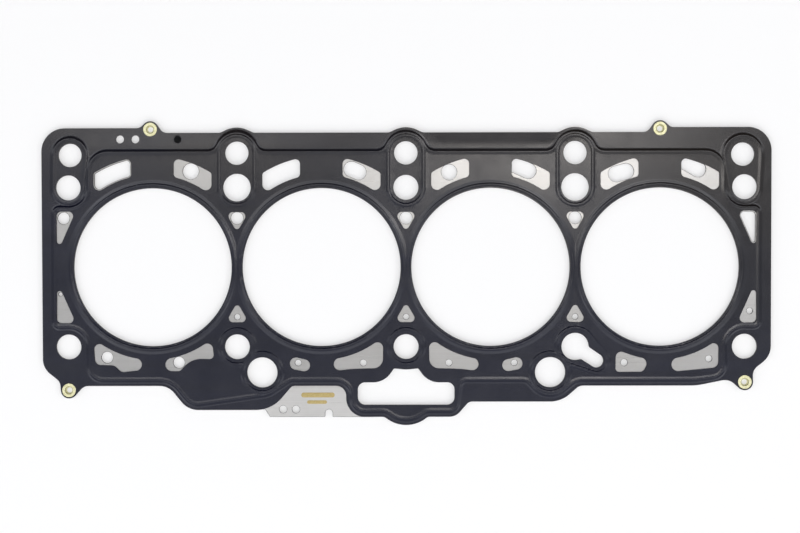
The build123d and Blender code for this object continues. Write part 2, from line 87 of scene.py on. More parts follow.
MARK_HOLE_Y = TOP_Y - 3.3
MARK_HOLE_RADIUS = 2.1
CORNER_RADIUS = 12.2
FIELD_CORNER_RADIUS = 3.5
STACK_MIDDLE_Z = 1.2
LOW_SPACER_Z = 0.65
HIGH_SPACER_Z = 1.75
HIGH_RIM_Z = HIGH_SPACER_Z + BEADED_THICKNESS
EDGE_ROUNDING = 0.05
SPACER_ROUNDING = 0.18


def column(i):
    return (i - 2) * BORE_PITCH


def bore(i):
    return (i - 1.5) * BORE_PITCH


def mirrored(z):
    """The height on the underside that answers to z on the upper side."""
    return 2 * STACK_MIDDLE_Z - z


BORES = [bore(i) for i in range(4)]
INNER_COLUMNS = [column(i) for i in (1, 2, 3)]
END_X = column(4) + 13.7
OIL_HOLES = [
    (column(1) + 13.0, -BOLT_ROW_Y - 13.4, OIL_HOLE_RADIUS),
    (column(3) - 13.0, -BOLT_ROW_Y - 13.4, OIL_HOLE_RADIUS),
]
EYELETS = {
    "top_left": (bore(0) - 1.1, END_TOP_Y - 0.7),
    "top_right": (bore(3) + 0.1, END_TOP_Y - 0.7),
    "lower_left": (13.7 - END_X, LOW_Y - 2.2),
    "lower_right": (END_X - 13.5, LOW_Y + 1.8),
}
TAB_LEFT = OIL_HOLES[0][0] + 3.8
LOBE = (bore(0) + 23.5, LOBE_LOW_Y + 11.2, 11.2)
RIGHT_SWEEP = (column(4) - 27.9, LOW_Y + 31.4, 31.4)

# ---- loops of tangent arcs, as in the part's source -------------------------


def tangent_normal(start, end):
    across, up = end[0] - start[0], end[1] - start[1]
    distance = hypot(across, up)
    lean = max(-1.0, min(1.0, (start[2] - end[2]) / distance))
    rest = sqrt(1 - lean * lean)
    return (across * lean + up * rest) / distance, (up * lean - across * rest) / distance


def grown(circles, amount):
    return [(x, y, radius + amount) for x, y, radius in circles]


def moved(circles, dx):
    return [(x + dx, y, radius) for x, y, radius in circles]


def flipped_x(circles):
    return [(-x, y, radius) for x, y, radius in reversed(circles)]


def flipped_y(circles):
    return [(x, -y, radius) for x, y, radius in reversed(circles)]


def fillet_beside(circle, edge_y, radius, side, run=0.0):
    x, y, size = circle
    fillet_y = edge_y + copysign(radius, edge_y)
    across = sqrt((size + radius) ** 2 - (fillet_y - y) ** 2) + run
    return x + side * across, fillet_y, -radius


def slot_loop(inset):
    left = (-SLOT_HALF_WIDTH - 6.2 + 10.0, LOOP_LOW_Y + 9.8, 9.9)
    right = (SLOT_HALF_WIDTH - 2.7, LOOP_LOW_Y + 7.3, 7.3)
    bulge = (0, LOOP_LOW_Y + 12.6, 16.9)
    circles = [fillet_beside(left, LOW_Y, 5.4, -1), left]
    circles += [fillet_beside(bulge, LOOP_LOW_Y, 3.9, -1), bulge]
    circles += [fillet_beside(bulge, LOOP_LOW_Y, 3.0, 1), right]
    return grown(circles, -inset)


def rim_loop(tab=False):
    """The edge of the sheets, with the spacer's tab if tab is true."""
    circles = [(END_X - 12.0, END_TOP_Y - CORNER_RADIUS, CORNER_RADIUS)]
    x, y = EYELETS["top_right"]
    ear = (x, y, EAR_RADIUS)
    circles += [fillet_beside(ear, END_TOP_Y, 3.6, 1, 0.4), ear, fillet_beside(ear, TOP_Y, 4.4, -1, 0.5)]
    for x in reversed(INNER_COLUMNS):
        bulge = (x, PAIR_ROW_Y, BULGE_RADIUS)
        circles += [fillet_beside(bulge, TOP_Y, 3.4, 1, 0.4), bulge]
        circles += [fillet_beside(bulge, TOP_Y, 3.4, -1, 0.4)]
    x, y = EYELETS["top_left"]
    ear = (x, y, EAR_RADIUS)
    circles += [fillet_beside(ear, TOP_Y, 4.4, 1, 0.5), ear, fillet_beside(ear, END_TOP_Y, 3.6, -1, 0.4)]
    circles += [(12.0 - END_X, END_TOP_Y - CORNER_RADIUS, CORNER_RADIUS)]
    x, y = EYELETS["lower_left"]
    ear = (x, y, EAR_RADIUS)
    circles += [(9.8 - END_X, LOW_Y + 14.0, 9.7), (x - EAR_RADIUS - 4.9, y + 2.0, -4.7)]
    circles += [ear, fillet_beside(ear, LOW_Y, 5.9, 1, 0.8)]
    lobe_end = (OIL_HOLES[0][0] - 3.4, LOBE_LOW_Y + 17.7, 17.7)
    circles += [fillet_beside(LOBE, LOW_Y, 9.8, -1, 1.0), LOBE, lobe_end]
    if tab:
        circles += [(lobe_end[0] + 4.4, lobe_end[1] - 18.0, -0.7), (TAB_LEFT + 0.3, LOOP_LOW_Y + 0.35, 0.35)]
        notch_x, notch_half = -SLOT_HALF_WIDTH - 15.1, 1.95
        circles += [(notch_x - notch_half - 0.3, LOOP_LOW_Y + 0.3, 0.3)]
        circles += [(notch_x, LOOP_LOW_Y + notch_half, -notch_half)]
        circles += [(notch_x + notch_half + 0.3, LOOP_LOW_Y + 0.3, 0.3)]
        circles += slot_loop(0)[1:]
    else:
        circles += [fillet_beside(lobe_end, LOW_Y, 3.2, 1, 1.2)]
        circles += slot_loop(0)
    shelf_end = (OIL_HOLES[1][0], OIL_HOLES[1][1], OIL_HOLES[1][1] - SHELF_LOW_Y)
    circles += [fillet_beside(circles[-1], SHELF_LOW_Y, 3.6, 1, 1.4), shelf_end]
    circles += [fillet_beside(shelf_end, LOW_Y, 5.3, 1, 0.7)]
    x, y = EYELETS["lower_right"]
    circles += [RIGHT_SWEEP, (x - EAR_RADIUS - 6.1, y - 6.6, -7.6), (x, y, EAR_RADIUS)]
    circles += [(x + EAR_RADIUS + 6.0, y + 3.3, -6.1), (END_X - 10.7, LOW_Y + 20.6, 10.7)]
    return circles


def beside_bore(x, radius, row=-1):
    reach = BORE_RADIUS + WINDOW_FROM_BORE + radius
    return x, row * sqrt(reach * reach - x * x), radius


def bore_side():
    return 0, 0, -BORE_RADIUS - WINDOW_FROM_BORE


def upper_window():
    near, far = 11.1, BORE_PITCH / 2 - 13.2
    outer = BORE_RADIUS + WINDOW_FROM_BORE + WINDOW_DEPTH

    def outer_corner(x, radius):
        reach = outer - radius
        return x, sqrt(reach * reach - x * x), radius

    return [
        beside_bore(near + 2.2, 2.2, 1),
        bore_side(),
        beside_bore(far - 3.0, 3.0, 1),
        outer_corner(far - 1.8, 1.8),
        (0, 0, outer),
        outer_corner(near + 2.5, 2.5),
    ]


def lower_windows():
    low_y = -BOLT_ROW_Y
    half = BORE_PITCH / 2
    end_left = [
        beside_bore(16.1 - half, 2.8),
        (16.6 - half, low_y - 6.4, 3.0),
        (22.0 - half, low_y - 13.9, -4.3),
        (28.6 - half, low_y - 9.9, 3.2),
        beside_bore(34.9 - half, 3.2),
        bore_side(),
    ]
    beside_lobe = [
        beside_bore(half - 34.2, 3.4),
        (half - 31.1, low_y - 10.1, 2.6),
        (half - 18.9, low_y - 18.1, -11.8),
        (half - 14.6, low_y - 4.2, 2.2),
        beside_bore(half - 15.7, 3.0),
        bore_side(),
    ]
    beside_oil = [(30.6 - half, low_y - 8.8, 3.2), (34.8 - half, low_y - 9.7, 3.1)]
    slot_corner = beside_bore(half - 34.5, 3.2)
    beside_slot = [
        slot_corner,
        (half - 27.6, slot_corner[1] - 14.2, -11.7),
        (half - 17.1, low_y - 6.3, 5.0),
        beside_bore(half - 14.9, 2.9),
        bore_side(),
    ]
    beside_keyhole = [
        (23.0 - half, low_y - 11.3, 2.0),
        (33.7 - half, low_y - 10.5, 2.7),
        beside_bore(33.9 - half, 3.2),
        bore_side(),
        beside_bore(24.0 - half, 2.9),
    ]
    end_right = [
        beside_bore(half - 34.4, 3.5),
        (half - 16.8, low_y - 8.0, 3.2),
        beside_bore(half - 16.0, 2.5),
        bore_side(),
    ]
    return [
        moved(end_left, bore(0)),
        moved(beside_lobe, bore(0)),
        moved(beside_oil, bore(1)),
        moved(beside_slot, bore(1)),
        moved(flipped_x(beside_slot), bore(2)),
        moved(flipped_x(beside_oil), bore(2)),
        moved(beside_keyhole, bore(3)),
        moved(end_right, bore(3)),
    ]


def side_window():
    x, wide_y = column(4), BOLT_ROW_Y - 14.8
    return [(x + 3.7, wide_y, 2.4), (x - 0.1, wide_y, 2.4), (x + 4.6, wide_y - 13.0, 1.4)]


def web_window(x):
    tip_y = BOLT_ROW_Y - 20.0
    return [(x, tip_y, 1.6), (x + 2.2, tip_y + 5.0, 2.2), (x - 2.2, tip_y + 5.0, 2.2)]


def coolant_windows():
    windows = []
    for x in BORES:
        windows += [moved(upper_window(), x), moved(flipped_x(upper_window()), x)]
    windows += lower_windows()
    side = side_window()
    windows += [side, flipped_y(side), flipped_x(side), flipped_x(flipped_y(side))]
    for x in INNER_COLUMNS:
        windows += [web_window(x), flipped_y(web_window(x))]
    return windows


def metering_holes():
    upper_y, low_y = BOLT_ROW_Y + 8.5, -BOLT_ROW_Y - 8.4
    half = BORE_PITCH / 2
    circles = [
        (bore(0) + half - 24.0, upper_y, 4.2),
        (bore(2) - half + 22.5, upper_y - 0.7, 4.1),
        (column(0) - 2.5, BOLT_ROW_Y - 15.9, 3.1),
        (column(0) - 4.3, 27.5 - BOLT_ROW_Y, 1.0),
        (column(4) + 2.7, 18.5 - BOLT_ROW_Y, 1.6),
        (column(0) + 20.0, low_y + 2.9, 3.0),
        (column(1) - 30.5, low_y + 0.2, 3.0),
        (column(1) + 31.7, low_y, 1.6),
        (column(2) - 22.3, low_y, 1.7),
        (column(2) + 22.3, low_y, 1.7),
        (column(3) - 31.7, low_y, 1.6),
        (column(3) + 25.5, low_y, 1.8),
        (column(4) - 18.5, low_y + 2.0, 1.7),
    ]
    for x in INNER_COLUMNS:
        circles += [(x, BOLT_ROW_Y - 15.9, 3.2), (x, 15.6 - BOLT_ROW_Y, 1.5)]
    loops = [
        [(column(2) - 28.3, upper_y + 1.0, 4.0), (column(2) - 24.7, upper_y - 0.6, 4.0)],
        [(column(3) - 31.0, upper_y + 3.0, 4.1), (column(3) - 24.3, upper_y - 0.1, 4.1)],
        [(column(3) + 21.3, upper_y - 1.8, 4.1), (column(3) + 26.4, upper_y - 0.4, 4.1)],
        [(column(4) - 30.0, upper_y + 4.0, 4.1), (column(4) - 24.2, upper_y + 0.6, 4.1)],
        grown(moved(flipped_x(upper_window()), bore(0)), -0.6),
        moved(flipped_x(upper_window()), bore(1)),
        grown(side_window(), -0.5),
    ]
    return [[circle] for circle in circles] + loops


def tab_holes():
    return [[(TAB_LEFT + 7.0 + i * 6.7, LOOP_LOW_Y + 3.9, 2.0)] for i in (0, 1)]


def slot():
    right = [
        (SLOT_HALF_WIDTH - 3.9, SLOT_LOW_Y + 3.9, 3.9),
        (SLOT_HALF_WIDTH - 3.8, SLOT_SHOULDER_Y - 3.8, 3.8),
        (17.1, SLOT_SHOULDER_Y + 10.9, -10.9),
        (5.9, -BOLT_ROW_Y - BOLT_HOLE_RADIUS - 5.7, 0.8),
    ]
    return right + [(0, -BOLT_ROW_Y, -BOLT_HOLE_RADIUS - 5.4)] + flipped_x(right)


def keyhole():
    x, y = column(3), -BOLT_ROW_Y
    arm = (x + 11.1, y - 7.4, 3.6)
    below = (x + 2.9, y - sqrt((KEYHOLE_RADIUS + 1.7) ** 2 - 2.9**2), -1.6)
    above = (x + sqrt((KEYHOLE_RADIUS + 1.3) ** 2 - 0.3**2), y + 0.3, -1.2)
    return [(x, y, KEYHOLE_RADIUS), below, arm, above]


def paired_holes():
    pairs = []
    for i in range(5):
        inset = 1.0 if i in (0, 4) else 0.0
        x = column(i)
        radius = WIDE_HOLE_RADIUS if i in (1, 3) else BOLT_HOLE_RADIUS
        upper = (x - copysign(inset, x), PAIR_ROW_Y - inset, PAIR_HOLE_RADIUS)
        pairs.append(((x, BOLT_ROW_Y, radius), upper))
    return pairs


def common_holes():
    holes = [(x, 0, BORE_RADIUS) for x in BORES] + OIL_HOLES
    for bolt_hole, upper in paired_holes():
        holes += [bolt_hole, upper]
    holes += [(column(i), -BOLT_ROW_Y, BOLT_HOLE_RADIUS) for i in (0, 1, 2, 4)]
    holes += [(bore(0) - 8.9 - i * 8.0, MARK_HOLE_Y, MARK_HOLE_RADIUS) for i in (0, 1)]
    holes += [(x, y, EYELET_TUBE_RADIUS) for x, y in EYELETS.values()]
    return [[hole] for hole in holes] + [slot(), keyhole()]


def field_loop():
    end, low_y = column(4), -BOLT_ROW_Y
    corner_x = end + 8.2 - FIELD_CORNER_RADIUS
    corner_y = BOLT_ROW_Y - BOLT_HOLE_RADIUS - 6.7
    passing = -BOLT_HOLE_RADIUS - FIELD_PASSING
    circles = [(corner_x, corner_y, FIELD_CORNER_RADIUS), (end, BOLT_ROW_Y, passing)]
    circles += [(end - 20.5, FIELD_TOP_Y - 10.7, 10.7)]
    for x in reversed(INNER_COLUMNS):
        bulge = (x, PAIR_ROW_Y, BULGE_RADIUS - 1.9)
        circles += [fillet_beside(bulge, FIELD_TOP_Y, 5.0, 1, 0.1), bulge]
        circles += [fillet_beside(bulge, FIELD_TOP_Y, 5.0, -1, 0.1)]
    circles += [(20.5 - end, FIELD_TOP_Y - 10.7, 10.7), (-end, BOLT_ROW_Y, passing)]
    circles += [(-corner_x, side * corner_y, FIELD_CORNER_RADIUS) for side in (1, -1)]
    circles += [(-end, low_y, passing), (18.0 - end, FIELD_LOW_Y + 8.0, 8.0)]
    lobe, = grown([LOBE], -RIM_WIDTH)
    around_left = (OIL_HOLES[0][0] - 1.0, OIL_HOLES[0][1], OIL_HOLE_RADIUS + 4.7)
    circles += [fillet_beside(lobe, FIELD_LOW_Y, 9.8 + RIM_WIDTH, -1, 1.0), lobe]
    circles += [around_left, fillet_beside(around_left, FIELD_LOW_Y, 4.0, 1, 3.0)]
    circles += slot_loop(RIM_WIDTH)
    around_right = (OIL_HOLES[1][0], OIL_HOLES[1][1], OIL_HOLE_RADIUS + 4.5)
    circles += [(circles[-1][0] + 9.0, FIELD_LOW_Y - 3.0, -3.0)]
    circles += [fillet_beside(around_right, FIELD_LOW_Y, 4.0, -1, 0.4), around_right]
    circles += [fillet_beside(around_right, FIELD_LOW_Y, 7.7, 1, 0.7)]
    circles += grown([RIGHT_SWEEP], -RIM_WIDTH) + [(end - 17.5, FIELD_LOW_Y + 9.1, 8.0)]
    circles += [(end, low_y, passing), (corner_x, -corner_y, FIELD_CORNER_RADIUS)]
    return circles


def end_pair_areas():
    areas = []
    for i, beyond in ((0, 3.3), (4, 4.4)):
        (x, y, radius), upper = paired_holes()[i]
        areas.append([(x, y, radius + FIELD_PASSING - STEP_FLANK), (upper[0], upper[1], upper[2] + beyond)])
    return areas


def embossed_areas():
    return [field_loop()] + end_pair_areas()


def bore_crests():
    return [[(x, 0, BORE_RADIUS + BORE_BEAD_OFFSET)] for x in BORES]


def bead_loops():
    bolt_bead = BOLT_HOLE_RADIUS + BOLT_BEAD_OFFSET
    loops = [
        [(lower[0], lower[1], bolt_bead), (upper[0], upper[1], bolt_bead)]
        for lower, upper in paired_holes()[1:4]
    ]
    loops += [[(column(i), -BOLT_ROW_Y, bolt_bead)] for i in (1, 2)]
    key, arm = keyhole()[0], keyhole()[2]
    loops.append(grown([key, arm], BOLT_BEAD_OFFSET))
    loops += [grown([hole], OIL_BEAD_OFFSET) for hole in OIL_HOLES]
    return loops


# ---- points along a loop ----------------------------------------------------

MOST_POINT_SPACING = 1.6
LEAST_POINT_SPACING = 0.3
ARC_FINENESS = 0.08
STRAIGHT_SPACING = 3.0
LEAST_AROUND = 24
LEAST_APART = 0.02
DISTANCE_STEP = 0.15


def point_spacing(radius, step):
    close = max(LEAST_POINT_SPACING, sqrt(ARC_FINENESS * abs(radius)))
    return step or min(MOST_POINT_SPACING, close)


def trace_circle(circle, step):
    x, y, radius = circle
    count = max(LEAST_AROUND, ceil(2 * pi * radius / point_spacing(radius, step)))
    angles = np.linspace(0, 2 * pi, count, endpoint=False)
    normals = np.stack([np.cos(angles), np.sin(angles)], 1)
    return np.array([x, y]) + radius * normals, normals


def trace(circles, step=None):
    """Points along a loop, and the unit normal out of it at each.

    The points lie step apart, or closer together on tight arcs if step is None.
    """
    if len(circles) == 1:
        return trace_circle(circles[0], step)
    following = circles[1:] + circles[:1]
    leaving = [atan2(*reversed(tangent_normal(a, b))) for a, b in zip(circles, following)]
    points, normals = [], []
    for i, (circle, other) in enumerate(zip(circles, following)):
        x, y, radius = circle
        turn = (leaving[i] - leaving[i - 1]) % (2 * pi)
        if radius < 0 and turn > 1e-6:
            turn -= 2 * pi
        count = max(1, ceil(abs(turn * radius) / point_spacing(radius, step)))
        for k in range(count + 1):
            angle = leaving[i - 1] + turn * k / count
            normals.append((cos(angle), sin(angle)))
            points.append((x + radius * normals[-1][0], y + radius * normals[-1][1]))
        start, normal = points[-1], normals[-1]
        end = (other[0] + other[2] * normal[0], other[1] + other[2] * normal[1])
        length = hypot(end[0] - start[0], end[1] - start[1])
        count = ceil(length / (step or STRAIGHT_SPACING))
        for k in range(1, count):
            share = k / count
            points.append((start[0] + (end[0] - start[0]) * share, start[1] + (end[1] - start[1]) * share))
            normals.append(normal)
    points, normals = np.array(points), np.array(normals)
    apart = np.linalg.norm(points - np.roll(points, 1, 0), axis=1) > LEAST_APART
    return points[apart], normals[apart]


class Distance:
    """Signed distance from loops, positive outside them."""

    def __init__(self, loops, step=DISTANCE_STEP):
        traced = [trace(loop, step) for loop in loops]
        self.points = np.concatenate([points for points, _ in traced])
        self.normals = np.concatenate([normals for _, normals in traced])
        self.tree = KDTree(len(self.points))
        for i, (x, y) in enumerate(self.points):
            self.tree.insert((x, y, 0), i)
        self.tree.balance()

    def __call__(self, places):
        nearest = np.array([self.tree.find((x, y, 0))[1] for x, y in places], dtype=int)
        return ((places - self.points[nearest]) * self.normals[nearest]).sum(1)


# ---- embossing --------------------------------------------------------------

RING_CENTRE = (bore(0) + 13.2, MARK_HOLE_Y)
RING_RADIUS = 1.65
RING_HALF_WIDTH = 0.42
RING_DEPTH = 0.12
RING_REACH = 1.25

# Slopes across the embossing, each as its foot's place and its width, outwards from the edge or the crest.
HALF_BEAD_FOOT = (1.25, 1.0)
HALF_BEAD_FLANK = (0.55, 1.3)
HALF_BEAD_LIP = (-2.6, 1.7)
HALF_BEAD_FOOT_SHARE = 0.3
LIP_HEIGHT = 0.1
BORE_BEAD_INNER = (-1.8, 0.9)
BORE_BEAD_STEEP = (0.35, 1.0)
BORE_BEAD_TRAIL = (1.85, 1.6)
BORE_BEAD_STEEP_SHARE = 0.62
RELIEF_REACH = 3.0

# Where points are laid beside the edges and crests, so that the mesh follows the slopes.
HALF_BEAD_PLACES = (
    -2.5, -2.1, -1.6, -1.1, -0.75, -0.5, -0.35, -0.2, 0, 0.15, 0.3, 0.45, 0.6, 0.75, 0.9, 1.1, 1.25,
)
BOLT_BEAD_SHARES = (0, 0.12, 0.3, 0.5, 0.7, 0.88, 1.02)
BORE_BEAD_PLACES = (
    -1.82, -1.65, -1.5, -1.35, -1.2, -1.05, -0.88, -0.65, -0.5, -0.35,
    -0.15, 0.05, 0.2, 0.35, 0.6, 0.85, 1.1, 1.4, 1.7, 1.87,
)
RING_SHARES = (-1.25, -0.9, -0.5, 0, 0.5, 0.9, 1.25)
GRID_STEP = 6.0


def eased(share):
    share = np.clip(share, 0, 1)
    return share * share * (3 - 2 * share)


def falling(distance, foot, width):
    """Eased share of a slope that falls outwards, down to its foot."""
    return eased((foot - distance) / width)


def rising(distance, foot, width):
    """Eased share of a slope that rises outwards, up from its foot."""
    return eased((distance - foot) / width)


def half_bead_height(distance):
    """Height of a half bead: a step up into the field, with a low lip at its top."""
    foot = falling(distance, *HALF_BEAD_FOOT)
    flank = falling(distance, *HALF_BEAD_FLANK)
    lip = flank * rising(distance, *HALF_BEAD_LIP)
    step = HALF_BEAD_FOOT_SHARE * foot + (1 - HALF_BEAD_FOOT_SHARE) * flank
    return STEP_HEIGHT * step + LIP_HEIGHT * lip


def bolt_bead_rise(distance):
    return falling(np.abs(distance), BEAD_CREST / 2 + BEAD_FLANK, BEAD_FLANK)


def bore_bead_rise(distance):
    """Share of the bead's height, with a steep inner flank and an outer one that trails off."""
    inner = rising(distance, *BORE_BEAD_INNER)
    steep = falling(distance, *BORE_BEAD_STEEP)
    trailing = falling(distance, *BORE_BEAD_TRAIL)
    outer = BORE_BEAD_STEEP_SHARE * steep + (1 - BORE_BEAD_STEEP_SHARE) * trailing
    return np.minimum(inner, outer)


class Relief:
    """Height of an embossed sheet above its rim."""

    def __init__(self):
        self.areas = [Distance([area]) for area in embossed_areas()]
        self.beads = [(Distance([loop]), bolt_bead_rise) for loop in bead_loops()]
        self.beads += [(Distance([crest]), bore_bead_rise) for crest in bore_crests()]

    def __call__(self, places):
        height = np.zeros(len(places))
        for area in self.areas:
            near = box_filter(places, area.points, RELIEF_REACH)
            height[near] = np.maximum(height[near], half_bead_height(area(places[near])))
        for line, rise in self.beads:
            near = box_filter(places, line.points, RELIEF_REACH)
            share = rise(line(places[near]))
            top = np.where(share > 0, STEP_HEIGHT + BEAD_HEIGHT * share, 0)
            height[near] = np.maximum(height[near], top)
        return height


def box_filter(places, points, margin):
    """Indices of the places inside the points' bounding box, widened by the margin."""
    low, high = points.min(0) - margin, points.max(0) + margin
    return np.flatnonzero(((places > low) & (places < high)).all(1))


def ring_depth(places):
    """How far the upper sheet is pressed down under the stud."""
    away = np.hypot(*(places - np.array(RING_CENTRE)).T) - RING_RADIUS
    return RING_DEPTH * eased(RING_REACH - away / RING_HALF_WIDTH)


def grid_points():
    grid = np.arange(-200, 200, GRID_STEP), np.arange(-84, 84, GRID_STEP)
    return np.stack(np.meshgrid(*grid), -1).reshape(-1, 2)


def slope_points():
    """Points along the slopes of the embossing."""
    points = []
    for area in embossed_areas():
        places, normals = trace(area, 1.1)
        points += [places + normals * away for away in HALF_BEAD_PLACES]
    for loop in bead_loops():
        places, normals = trace(loop, 0.9)
        points.append(places)
        for share in BOLT_BEAD_SHARES:
            away = BEAD_CREST / 2 + BEAD_FLANK * share
            points += [places + normals * away, places - normals * away]
    for crest in bore_crests():
        places, normals = trace(crest, 1.5)
        points += [places + normals * away for away in BORE_BEAD_PLACES]
    places, normals = trace([(*RING_CENTRE, RING_RADIUS)], 0.25)
    points += [places + normals * share * RING_HALF_WIDTH for share in RING_SHARES]
    return np.concatenate(points)


# ---- sheets -----------------------------------------------------------------

INNER_SPACING = 0.16
INNER_MARGIN = 0.3
EDGE_STEP = 0.12
MERGE_DISTANCE = 1e-5

# The normals of the embossing lean further than its surface, and those of the upper rim lean along y, at
# these places along x, because the real rim is not quite flat. Only the shading changes.
NORMAL_LEAN = 1.65
RIM_LEANS = ((-190, 0.0), (-140, 0.03), (-60, 0.03), (0, -0.03), (25, -0.1), (75, -0.1), (95, 0.0))
RIM_LEAN_START = 63.5
RIM_LEAN_WIDTH = 3.0


def thinned(points, cell):
    """The points, with no more than one in each square cell."""
    _, first = np.unique(np.round(points / cell).astype(int), axis=0, return_index=True)
    return points[np.sort(first)]


def mesh_object(name, verts, faces, materials, slots=None):
    mesh = bpy.data.meshes.new(name)
    mesh.from_pydata([tuple(v) for v in verts], [], faces)
    for material in materials:
        mesh.materials.append(material)
    if slots is not None:
        mesh.polygons.foreach_set("material_index", slots)
    mesh.polygons.foreach_set("use_smooth", [True] * len(mesh.polygons))
    mesh.update()
    piece = bpy.data.objects.new(name, mesh)
    bpy.context.scene.collection.objects.link(piece)
    return piece


def triangulated(given, segments):
    """Places, triangles that all turn the same way, and the place of each given point."""
    found = delaunay_2d_cdt([Vector(place) for place in given], segments, [], 0, MERGE_DISTANCE)
    places = np.array([tuple(place) for place in found[0]])
    index = np.zeros(len(given), int)
    for i, sources in enumerate(found[3]):
        index[list(sources)] = i
    triangles = np.array([tuple(face) for face in found[2]])
    a, b, c = (places[triangles[:, k]] for k in range(3))
    turned = np.cross(b - a, c - a) < 0
    triangles[turned] = triangles[turned][:, ::-1]
    return places, triangles, index


def cut_region(outline, holes, inner_points, rounding):
    """Triangulates the sheet's outline less its holes.

    Gives the places, the triangles, and for each edge its points and the indices
    of the places that lie a rounding's width inside it.
    """
    traced = [trace(loop) for loop in [outline] + holes]
    insides = [-1] + [1] * len(holes)
    inset = [points + side * normals * rounding for (points, normals), side in zip(traced, insides)]
    distance = Distance([outline] + holes, EDGE_STEP)
    distance.normals[len(trace(outline, EDGE_STEP)[0]):] *= -1
    inner = thinned(inner_points, INNER_SPACING)
    inner = inner[distance(inner) < -INNER_MARGIN]
    segments, start = [], 0
    for ring in inset:
        segments += [(start + k, start + (k + 1) % len(ring)) for k in range(len(ring))]
        start += len(ring)
    places, triangles, index = triangulated(np.concatenate(inset + [inner]), segments)
    a, b, c = (places[triangles[:, k]] for k in range(3))
    triangles = triangles[distance((a + b + c) / 3) < -rounding / 2]
    edges, start = [], 0
    for (points, _), side in zip(traced, insides):
        ring = index[start:start + len(points)]
        start += len(points)
        edges.append((points, ring) if side < 0 else (points[::-1], ring[::-1]))
    return places, triangles, edges


def rim_lean(verts):
    """Lean along y of the normals on the upper rim, by place."""
    lean = np.interp(verts[:, 0] / MM, *zip(*RIM_LEANS))
    return lean * eased((verts[:, 1] / MM - RIM_LEAN_START) / RIM_LEAN_WIDTH)


def corner_normals(verts, triangles, quads):
    """Normals for the corners of the faces. The quads come in threes: rounding, wall, rounding."""

    def summed(faces):
        a, b, c = (verts[faces[:, k]] for k in (0, 1, -1))
        normals = np.zeros_like(verts)
        for k in range(faces.shape[1]):
            np.add.at(normals, faces[:, k], np.cross(b - a, c - a))
        length = np.linalg.norm(normals, axis=1, keepdims=True)
        return normals / np.maximum(length, 1e-30)

    flat, wall = summed(triangles), summed(quads[1::3])
    flat *= (NORMAL_LEAN, NORMAL_LEAN, 1)
    flat[:, 1] += rim_lean(verts)
    flat /= np.maximum(np.linalg.norm(flat, axis=1, keepdims=True), 1e-30)
    corners = [flat[triangles].reshape(-1, 3)]
    sides = wall[quads]
    sides[0::3, 0], sides[0::3, 3] = flat[quads[0::3, 0]], flat[quads[0::3, 3]]
    sides[2::3, 1], sides[2::3, 2] = flat[quads[2::3, 1]], flat[quads[2::3, 2]]
    return np.concatenate(corners + [sides.reshape(-1, 3)])


def sheet(name, outline, holes, inner_points, levels, materials, rounding=EDGE_ROUNDING):
    """A sheet between levels(places), which gives its lower and upper surfaces.

    The faces stop a rounding's width short of the edge, where the wall starts a
    little lower.
    """
    places, triangles, edges = cut_region(outline, holes, inner_points, rounding)
    low, high = levels(places)
    count = len(places)
    verts = [np.column_stack([places, high]), np.column_stack([places, low])]
    quads, start = [], 2 * count
    for points, ring in edges:
        size = len(points)
        verts.append(np.column_stack([points, high[ring] - EDGE_ROUNDING]))
        verts.append(np.column_stack([points, low[ring] + EDGE_ROUNDING]))
        upper = start + np.arange(size)
        rows = [ring, upper, upper + size, ring + count]
        for k in range(size):
            after = (k + 1) % size
            for row, below in zip(rows, rows[1:]):
                quads.append((row[k], below[k], below[after], row[after]))
        start += 2 * size
    verts, quads = np.concatenate(verts) * MM, np.array(quads)
    triangles = np.concatenate([triangles, triangles[:, ::-1] + count])
    slots = [0] * len(triangles) + [1, 1, 1] * (len(quads) // 3)
    piece = mesh_object(name, verts, triangles.tolist() + quads.tolist(), materials, slots)
    piece.data.normals_split_custom_set(corner_normals(verts, triangles, quads).tolist())
    return piece


# ---- eyelets, print and stud ------------------------------------------------

EYELET_AROUND = 72
FUNNEL_OUT = 0.5
FUNNEL_RADIUS = 0.42
# Rows of the funnel that take a painted shade.
FUNNEL_ROWS = (2, 3, 4)
FLANGE_START = 8
INK_HEIGHT = 0.014
INK_DEPTH = 0.01
INK_BEVEL = 0.05
PRINTED_BARS = ((-46.0, -66.7, 17.5, 2.6), (-46.5, -70.4, 10.5, 1.9))
STUD_AROUND = 48
STUD_TOP = -0.01
STUD_PROFILE = ((0.9, -0.015), (1.45, -0.035), (1.75, -0.07), (1.82, -0.13), (1.82, -0.2))


def eyelet_profile():
    """Section of an eyelet as (radius, z), up inside the tube, over both flanges and back."""
    inner, tube, flange = EYELET_TUBE_RADIUS - EYELET_WALL, EYELET_TUBE_RADIUS, EYELET_FLANGE_RADIUS
    high, half = HIGH_RIM_Z + EYELET_FLANGE_THICKNESS, EYELET_FLANGE_THICKNESS / 2
    upper = [(inner, STACK_MIDDLE_Z), (inner + 0.12, high - 0.55)]
    for k in range(7):  # funnel
        angle = pi * (1 - k / 12)
        z = high - FUNNEL_RADIUS + FUNNEL_RADIUS * sin(angle)
        upper.append((inner + FUNNEL_OUT + FUNNEL_RADIUS * cos(angle), z))
    upper.append(((inner + flange) / 2 + 0.2, high))
    for k in range(7):  # edge of the flange
        angle = pi / 2 - pi * k / 6
        upper.append((flange - half + half * cos(angle), high - half + half * sin(angle)))
    upper += [(tube + 0.15, HIGH_RIM_Z), (tube, HIGH_RIM_Z - 0.1)]
    lower = [(radius, mirrored(z)) for radius, z in reversed(upper[FLANGE_START:])]
    lower += [(inner - 0.3, mirrored(high) + 0.1), (inner - 0.45, 0.45)]
    lower += [(inner - 0.3, 0.8), (inner - 0.02, 1.0)]
    return upper + lower


